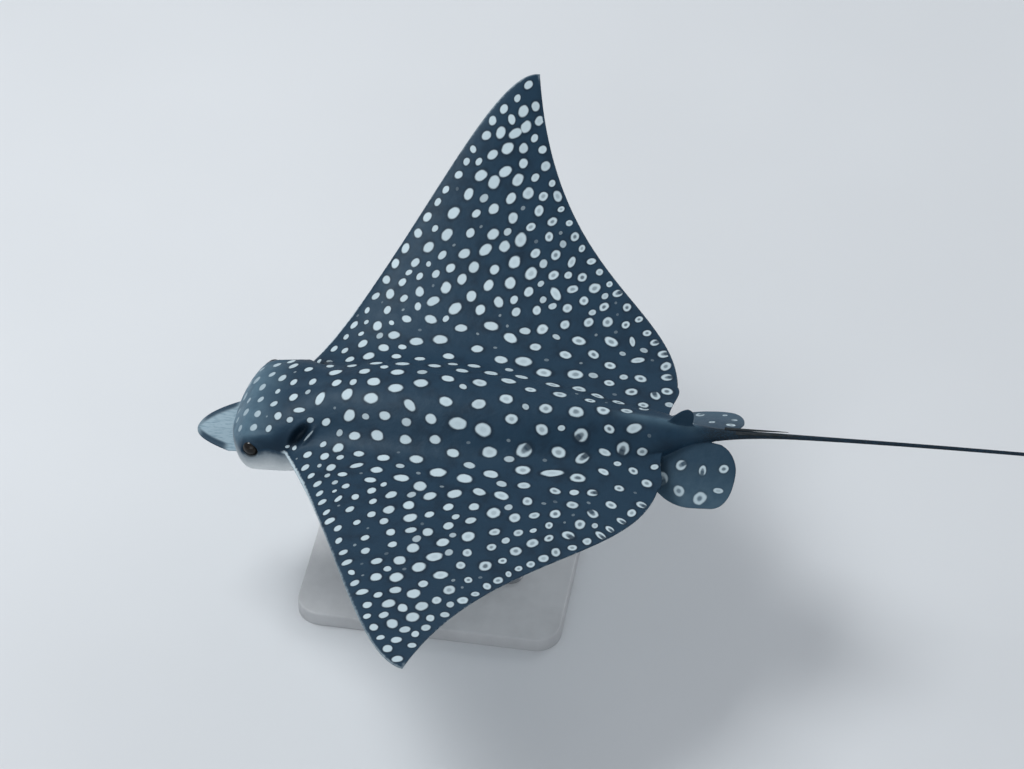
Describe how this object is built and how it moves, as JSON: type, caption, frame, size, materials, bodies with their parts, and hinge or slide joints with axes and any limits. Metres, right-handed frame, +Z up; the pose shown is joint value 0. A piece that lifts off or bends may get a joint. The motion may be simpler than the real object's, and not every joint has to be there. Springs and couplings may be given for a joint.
{
  "type": "spotted eagle ray",
  "caption": "Life-size still model of a spotted eagle ray gliding with raised wings and a long trailing tail, held over a flat base by steel rods.",
  "frame": {"origin": "middle of the stand base's flat underside", "axes": "+Z up, the ray's head toward -Y and its tail toward +Y, the ray's own left toward +X"},
  "size_m": [1.5248, 4.2976, 0.7015],
  "materials": {
    "ray_skin": "smooth wet-looking skin, dark slate blue above with pale spots, white below, almost black tail",
    "eye_black": "glossy black eye",
    "sting_bone": "dull grey-brown sting with fine side teeth",
    "stand_board": "satin dark grey paint on board",
    "stand_steel": "brushed steel rod and collar"
  },
  "bodies": {
    "root": {"head": "ray_skin", "rostral_lobe": "ray_skin", "trunk": "ray_skin", "pectoral_fin_left": "ray_skin", "pectoral_fin_right": "ray_skin", "pelvic_fin_left": "ray_skin", "pelvic_fin_right": "ray_skin", "dorsal_fin": "ray_skin", "tail_root": "ray_skin", "tail_middle": "ray_skin", "tail_rear": "ray_skin", "tail_tip": "ray_skin", "eye_left": "eye_black", "eye_right": "eye_black", "tail_sting_1": "sting_bone", "tail_sting_2": "sting_bone", "stand_base": "stand_board", "stand_collar_front": "stand_steel", "stand_collar_rear": "stand_steel", "stand_rod_front": "stand_steel", "stand_rod_rear": "stand_steel"}
  },
  "joints": []
}
